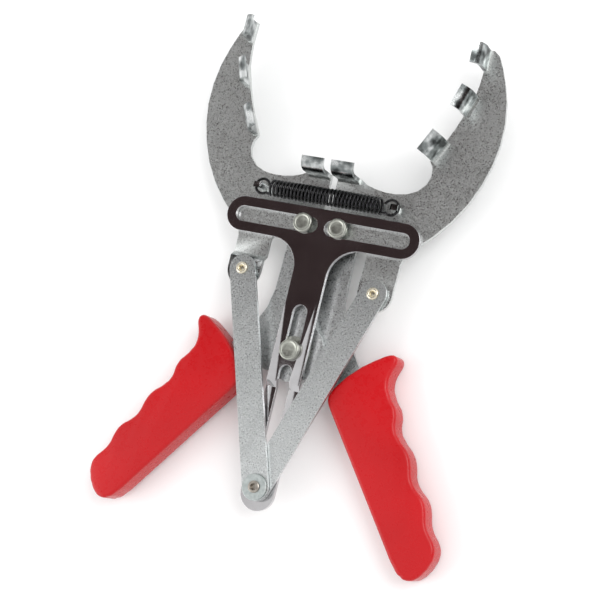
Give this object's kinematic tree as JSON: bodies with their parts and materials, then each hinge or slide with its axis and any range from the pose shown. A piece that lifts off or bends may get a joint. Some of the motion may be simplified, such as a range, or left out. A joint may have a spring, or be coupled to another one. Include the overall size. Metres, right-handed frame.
{
  "type": "piston ring expander pliers",
  "caption": "Spring-closed pliers that spread a piston ring: crescent jaws with upright tabs slide on a slotted T-shaped guide plate, worked by red-gripped levers and levelling links.",
  "frame": {"origin": "middle of the underside of the bounding box, with the tool lying on its bolt ends", "axes": "+X across the tool to the right jaw, +Y along the stem towards the jaw tips, +Z forward out of the guide plate on the bolt-head side"},
  "size_m": [0.1616, 0.2236, 0.0262],
  "materials": {
    "chrome_plate": "polished chrome plate",
    "zinc_sheet": "satin zinc-plated pressed steel",
    "zinc_hardware": "dull zinc-plated fastener",
    "brass_rivet": "pale yellow-passivated rivet",
    "pin_steel": "dark steel pin",
    "spring_steel": "glossy black oiled wire",
    "red_plastic": "glossy red moulded plastic"
  },
  "bodies": {
    "guide": {"guide_plate": "chrome_plate"},
    "left_slider": {"left_slide_bolt": "zinc_hardware", "left_slide_nut": "zinc_hardware", "left_slide_washer": "zinc_hardware", "return_spring": "spring_steel"},
    "right_slider": {"right_slide_bolt": "zinc_hardware", "right_slide_nut": "zinc_hardware", "right_slide_spacer": "zinc_hardware"},
    "left_jaw_plate": {"left_jaw": "zinc_sheet"},
    "right_jaw_plate": {"right_jaw": "zinc_sheet"},
    "left_lever_arm": {"left_lever": "zinc_sheet", "left_grip": "red_plastic", "pivot_bolt": "zinc_hardware", "pivot_nut": "zinc_hardware", "pivot_washer": "zinc_hardware", "pivot_spacer": "zinc_hardware"},
    "right_lever_arm": {"right_lever": "zinc_sheet", "right_grip": "red_plastic"},
    "left_rivet": {"left_link_rivet": "brass_rivet"},
    "left_link_bar": {"left_link": "zinc_sheet", "link_pin": "pin_steel", "link_pin_washer": "zinc_hardware", "link_pin_rear_washer": "zinc_hardware"},
    "right_rivet": {"right_link_rivet": "brass_rivet"},
    "right_link_bar": {"right_link": "zinc_sheet"}
  },
  "joints": [
    {"name": "left_slide", "type": "slide", "parent": "guide", "child": "left_slider", "axis": [-1, 0, 0], "range_m": [0, 0.0272]},
    {"name": "right_slide", "type": "slide", "parent": "left_slider", "child": "right_slider", "axis": [1, 0, 0], "range_m": [0, 0.0544], "deforming": ["return_spring"]},
    {"name": "handle_squeeze", "type": "hinge", "parent": "left_slider", "child": "left_lever_arm", "pos_m": [-0.00815, 0.02463, 0.0096], "axis": [0, 0, 1], "range_deg": [0, 30], "stiffness_Nm_per_rad": 1.2, "springref_deg": -14.32},
    {"name": "jaw_tilt", "type": "hinge", "parent": "left_slider", "child": "left_jaw_plate", "pos_m": [-0.00815, 0.02463, 0.0096], "axis": [0, 0, 1], "range_deg": [0, 2.5], "stiffness_Nm_per_rad": 1.5, "springref_deg": -5.73},
    {"name": "right_handle", "type": "hinge", "parent": "right_slider", "child": "right_lever_arm", "pos_m": [0.00815, 0.02463, 0.0096], "axis": [0, 0, -1], "range_deg": [0, 30.2]},
    {"name": "right_jaw_tilt", "type": "hinge", "parent": "right_slider", "child": "right_jaw_plate", "pos_m": [0.00815, 0.02463, 0.0096], "axis": [0, 0, -1], "range_deg": [0, 2.55]},
    {"name": "left_link_level", "type": "slide", "parent": "left_slider", "child": "left_rivet", "axis": [0.2593, -0.9658, 0], "range_m": [0, 0.00103]},
    {"name": "left_link_swing", "type": "hinge", "parent": "left_rivet", "child": "left_link_bar", "pos_m": [-0.0306, 0.00003, 0.0156], "axis": [0, 0, 1], "range_deg": [0, 18.3]},
    {"name": "right_link_level", "type": "slide", "parent": "right_slider", "child": "right_rivet", "axis": [-0.2593, -0.9658, 0], "range_m": [0, 0.00103]},
    {"name": "right_link_swing", "type": "hinge", "parent": "right_rivet", "child": "right_link_bar", "pos_m": [0.0306, 0.00003, 0.0156], "axis": [0, 0, -1], "range_deg": [0, 18.3]}
  ],
  "couplings": [
    {"joint": "left_slide", "follows": "handle_squeeze", "m_per_rad": 0.0515},
    {"joint": "right_slide", "follows": "handle_squeeze", "m_per_rad": 0.103},
    {"joint": "right_handle", "follows": "handle_squeeze", "ratio": 1},
    {"joint": "left_link_swing", "follows": "handle_squeeze", "ratio": 0.605},
    {"joint": "right_link_swing", "follows": "handle_squeeze", "ratio": 0.605},
    {"joint": "right_jaw_tilt", "follows": "jaw_tilt", "ratio": 1},
    {"joint": "left_link_level", "follows": "jaw_tilt", "m_per_rad": 0.02314},
    {"joint": "right_link_level", "follows": "jaw_tilt", "m_per_rad": 0.02314}
  ]
}
